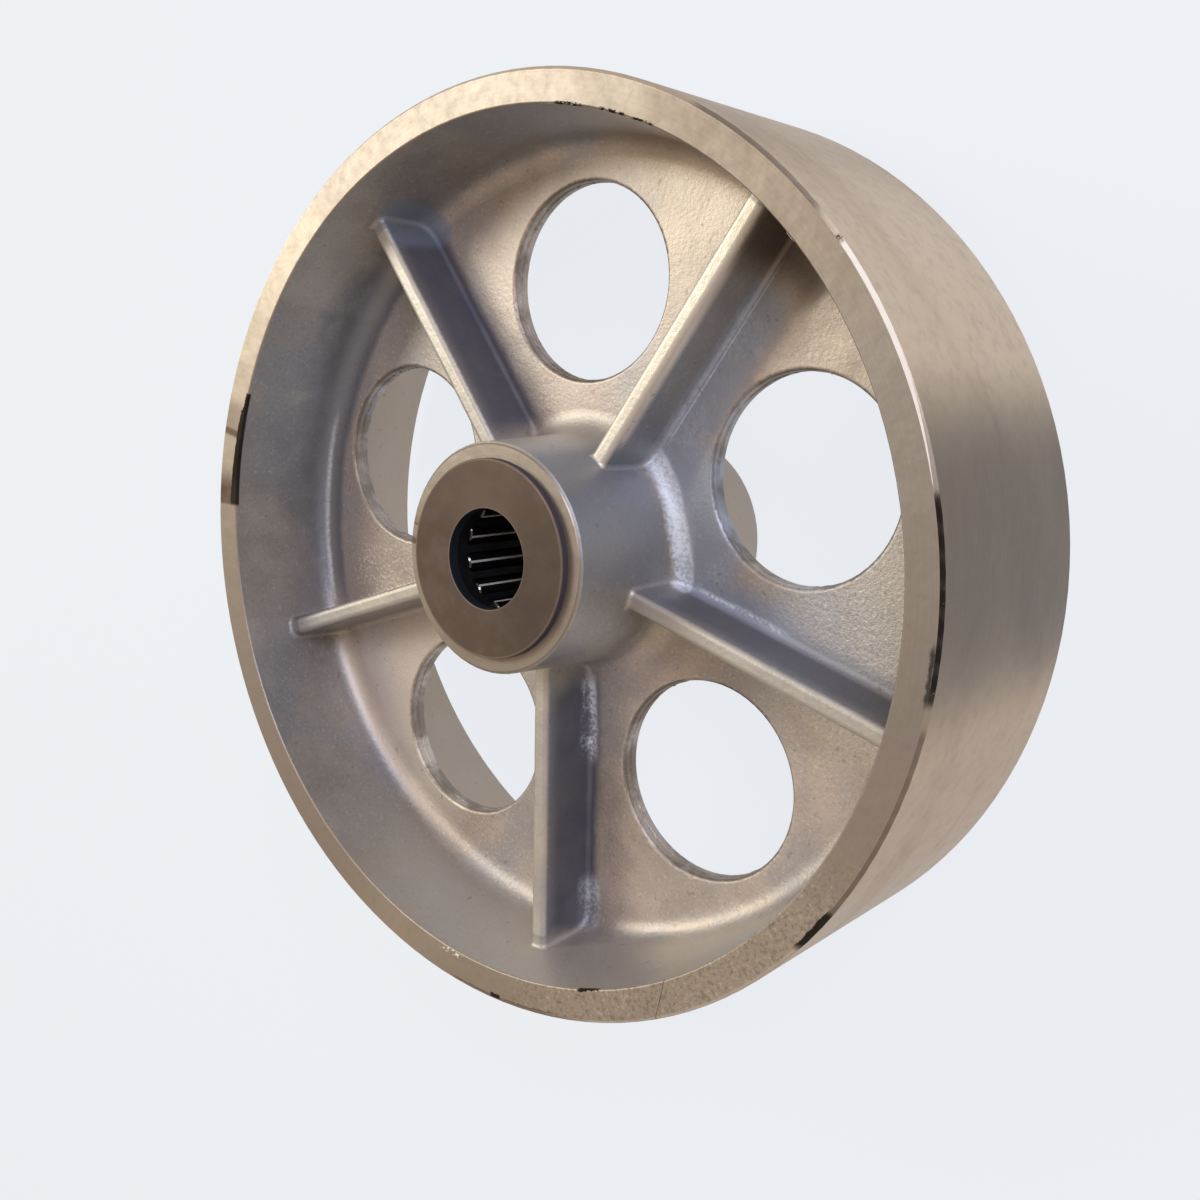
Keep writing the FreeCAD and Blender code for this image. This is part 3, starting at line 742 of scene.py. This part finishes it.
def uneven(angle, seed, waves):
    """Draw an uneven edge between -1 and 1.

    It is sum(sin(n * angle + phase) / sqrt(n)) / sum(1 / sqrt(n)) over the wave counts n, with seeded phases.
    """
    draw = np.random.default_rng(seed)
    total = np.zeros_like(angle)
    weight = 0.0
    for wave in waves:
        size = 1.0 / math.sqrt(wave)
        total += size * np.sin(wave * angle + draw.uniform(0, 2 * math.pi))
        weight += size
    return total / weight


FINISHES = {}


def finish_for(build, look):
    """Return the finish that a function builds, building it the first time."""
    if build.__name__ not in FINISHES:
        FINISHES[build.__name__] = build(look)
    return FINISHES[build.__name__]


def dress(node, material):
    """Give a node of the frame its finish."""
    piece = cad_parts[node]
    if not piece.material_slots:
        piece.data.materials.append(material)
    for place in piece.material_slots:
        place.material = material


# Operators

class WHEEL_OT_casting(bpy.types.Operator):
    """Finish the wheel casting"""
    bl_idname = "wheel.casting"
    bl_label = "Finish Casting"

    def execute(self, context):
        dress("wheel_casting", finish_for(cast_iron, context.scene.wheel_casting_look))
        return {"FINISHED"}


class WHEEL_OT_washers(bpy.types.Operator):
    """Finish the two end washers"""
    bl_idname = "wheel.washers"
    bl_label = "Finish End Washers"

    def execute(self, context):
        steel = finish_for(washer_steel, context.scene.wheel_bearing_look)
        dress("front_end_washer", steel)
        dress("back_end_washer", steel)
        return {"FINISHED"}


class WHEEL_OT_bearing(bpy.types.Operator):
    """Finish the roller cage and its rollers"""
    bl_idname = "wheel.bearing"
    bl_label = "Finish Roller Bearing"

    def execute(self, context):
        look = context.scene.wheel_bearing_look
        dress("roller_cage", finish_for(cage_steel, look))
        ground = finish_for(roller_steel, look)
        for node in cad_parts:
            if node.startswith("roller_") and node != "roller_cage":
                dress(node, ground)
        return {"FINISHED"}


class WHEEL_OT_hole_flash(bpy.types.Operator):
    """Build the thin fin that the casting has round the middle of each web hole

    It stands out of the hole's wall by fin_height * (0.55 + 0.9 * shape + 3.3 * ragged), where shape and
    ragged are uneven edges of long and short waves round the hole.
    """
    bl_idname = "wheel.hole_flash"
    bl_label = "Build Hole Flash"

    def execute(self, context):
        look = context.scene.wheel_flash_look
        iron = finish_for(cast_iron, context.scene.wheel_casting_look)
        angle = np.linspace(0, 2 * math.pi, 480, endpoint=False)
        half = look.fin_thickness / 2
        for hole in range(RIB_COUNT):
            seat = RIB_STEP * (hole + 0.5)
            shape = np.maximum(uneven(angle, 40 + hole, range(3, 60, 4)), -0.5)
            ragged = np.maximum(uneven(angle, 80 + hole, range(20, 120, 7)) - 0.25, 0)
            fin = np.clip(look.fin_height * (0.55 + 0.9 * shape + 3.3 * ragged), 0.00003, 0.0013)
            # Section of the fin: root above and below, two shoulders and a thin tip
            root = np.full_like(fin, HOLE_RADIUS + 0.00025)
            shoulder = HOLE_RADIUS - 0.35 * fin
            tip = HOLE_RADIUS - fin
            section_r = np.stack([root, shoulder, tip, tip, shoulder, root], axis=1)
            section_z = half * np.array([1.5, 0.7, 0.28, -0.28, -0.7, -1.5])
            wander = 0.0003 * uneven(angle, 120 + hole, range(2, 14))
            grid = np.stack([HOLE_PITCH * math.cos(seat) + section_r * np.cos(angle)[:, None],
                             HOLE_PITCH * math.sin(seat) + section_r * np.sin(angle)[:, None],
                             section_z[None, :] + wander[:, None]], axis=-1)
            lay_mesh("hole_flash_" + str(hole + 1), grid, True, "wheel", iron)
        return {"FINISHED"}


class WHEEL_OT_rim_burrs(bpy.types.Operator):
    """Build the short ragged burrs along the inner edge of the front rim face

    Each is an ellipse swept along the edge. Its height is burr_height * sqrt(sin(pi * t)) * ragged, where t
    runs from 0 to 1 along the burr, and its half width is 0.45 of that.
    """
    bl_idname = "wheel.rim_burrs"
    bl_label = "Build Rim Burrs"

    def execute(self, context):
        look = context.scene.wheel_flash_look
        iron = finish_for(cast_iron, context.scene.wheel_casting_look)
        # Directions of each burr's two ends, in degrees
        reaches = [(86.5, 93.0), (95.5, 98.0), (99.0, 101.5), (60.0, 61.6), (286.5, 288.6)]
        steps = 90
        turn = np.linspace(0, 2 * math.pi, 8, endpoint=False)
        fade = np.sin(np.linspace(0, math.pi, steps)) ** 0.5
        for index, (start, end) in enumerate(reaches):
            angle = np.radians(np.linspace(start, end, steps))
            ragged = np.clip(0.5 + 1.2 * uneven(angle * 12, 7 + index, range(3, 40, 3)), 0.08, 1.4)
            tall = look.burr_height * fade * ragged
            across = 0.45 * tall[:, None] * np.cos(turn)[None, :]
            up = tall[:, None] * np.sin(turn)[None, :]
            radius = LAND_RADIUS - 0.0001 + across
            grid = np.stack([radius * np.cos(angle)[:, None], radius * np.sin(angle)[:, None],
                             RIM_FACE - 0.0002 + up], axis=-1)
            lay_mesh("rim_burr_" + str(index + 1), grid, False, "wheel", iron)
        return {"FINISHED"}


class WHEEL_OT_stage(bpy.types.Operator):
    """Set up the floor, the surround, the lights and the camera"""
    bl_idname = "wheel.stage"
    bl_label = "Set Up Stage"

    def execute(self, context):
        setup = context.scene.wheel_stage_setup
        scene = context.scene
        scene.view_settings.view_transform = "Standard"

        # Camera: where it stands and the directions of its right, top and back
        camera = bpy.data.cameras.new("camera")
        camera.lens = setup.lens
        camera.sensor_width = 36.0
        camera.shift_x = 0.0087
        camera.shift_y = -0.0328
        camera.clip_start = 0.01
        eye = bpy.data.objects.new("camera", camera)
        scene.collection.objects.link(eye)
        right = Vector((0.7326, 0.2556, -0.6309)).normalized()
        back = Vector((0.5525, 0.3180, 0.7704)).normalized()
        top = back.cross(right).normalized()
        right = top.cross(back)
        turn = Matrix((right, top, back)).transposed()
        eye.matrix_world = Matrix.Translation((0.2169, 0.1198, 0.3007)) @ turn.to_4x4()
        scene.camera = eye

        # Floor: pale, keeping the object's shadow; seen directly and in reflections it is brighter
        reach = 4.0
        mesh = bpy.data.meshes.new("floor")
        mesh.from_pydata([(-reach, -reach, FLOOR_LEVEL), (reach, -reach, FLOOR_LEVEL),
                          (reach, reach, FLOOR_LEVEL), (-reach, reach, FLOOR_LEVEL)], [], [(0, 1, 2, 3)])
        floor = bpy.data.objects.new("floor", mesh)
        scene.collection.objects.link(floor)
        make = Maker("floor")
        colour = tuple(setup.floor_colour)
        seen = make.node("LightPath", output="Is Camera Ray") + make.node("LightPath", output="Is Glossy Ray")
        seen = make.math("MINIMUM", seen + make.node("LightPath", output="Is Transmission Ray"), 1.0)
        matt = make.node("BsdfDiffuse", None, {"Color": colour})
        glow = make.node("Emission", None, {"Color": tuple(setup.backdrop_colour), "Strength": 1.0})
        mixed = make.node("MixShader", None, {0: seen * 0.90, 1: matt, 2: glow})
        make.tree.links.new(mixed.socket, make.output.inputs[0])
        mesh.materials.append(make.material)

        # Even surround: one warm colour from all sides, which the two lights stand out from
        world = bpy.data.worlds.new("surround")
        world.use_nodes = True
        tree = world.node_tree
        tree.nodes.clear()
        out = tree.nodes.new("ShaderNodeOutputWorld")
        sky = tree.nodes.new("ShaderNodeBackground")
        sky.inputs["Color"].default_value = (1.0, 0.82, 0.64, 1.0)
        sky.inputs["Strength"].default_value = setup.sky_level
        tree.links.new(sky.outputs[0], out.inputs[0])
        scene.world = world

        def panel(name, azimuth, height, size, power, tint):
            """Add a rectangular light that faces the wheel's middle from a direction given in degrees."""
            lamp = bpy.data.lights.new(name, "AREA")
            lamp.shape = "RECTANGLE"
            lamp.size, lamp.size_y = size
            lamp.energy = power
            lamp.color = tint
            holder = bpy.data.objects.new(name, lamp)
            scene.collection.objects.link(holder)
            azimuth, height = math.radians(azimuth), math.radians(height)
            direction = Vector((math.cos(height) * math.cos(azimuth), math.cos(height) * math.sin(azimuth),
                                math.sin(height)))
            facing = direction.to_track_quat("Z", "Y").to_matrix().to_4x4()
            holder.matrix_world = Matrix.Translation(direction * LIGHT_DISTANCE) @ facing

        panel("key", 171, 42, (0.38, 0.35), setup.key_power, (1.0, 0.98, 0.83))
        panel("fill", 60, 40, (0.35, 0.35), setup.fill_power, (0.80, 0.82, 1.0))
        return {"FINISHED"}


class WHEEL_PT_panel(bpy.types.Panel):
    bl_idname = "WHEEL_PT_panel"
    bl_label = "Cast Iron Wheel"
    bl_space_type = "VIEW_3D"
    bl_region_type = "UI"
    bl_category = "Wheel"

    def draw(self, context):
        layout = self.layout
        for operator in OPERATORS:
            layout.operator(operator.bl_idname)
        for group in LOOKS:
            settings = getattr(context.scene, group)
            for name in settings.bl_rna.properties.keys():
                if name not in ("rna_type", "name"):
                    layout.prop(settings, name)


LOOKS = {
    "wheel_casting_look": CastingLook,
    "wheel_bearing_look": BearingLook,
    "wheel_flash_look": FlashLook,
    "wheel_stage_setup": StageSetup,
}
OPERATORS = (WHEEL_OT_stage, WHEEL_OT_casting, WHEEL_OT_washers, WHEEL_OT_bearing, WHEEL_OT_hole_flash,
             WHEEL_OT_rim_burrs)


def register():
    for name, group in LOOKS.items():
        bpy.utils.register_class(group)
        setattr(bpy.types.Scene, name, bpy.props.PointerProperty(type=group))
    for operator in OPERATORS:
        bpy.utils.register_class(operator)
    bpy.utils.register_class(WHEEL_PT_panel)


def unregister():
    bpy.utils.unregister_class(WHEEL_PT_panel)
    for operator in reversed(OPERATORS):
        bpy.utils.unregister_class(operator)
    for name, group in LOOKS.items():
        delattr(bpy.types.Scene, name)
        bpy.utils.unregister_class(group)


def main():
    """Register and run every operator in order."""
    register()
    bpy.ops.wheel.stage()
    bpy.ops.wheel.casting()
    bpy.ops.wheel.washers()
    bpy.ops.wheel.bearing()
    bpy.ops.wheel.hole_flash()
    bpy.ops.wheel.rim_burrs()


if __name__ == "__main__":
    main()
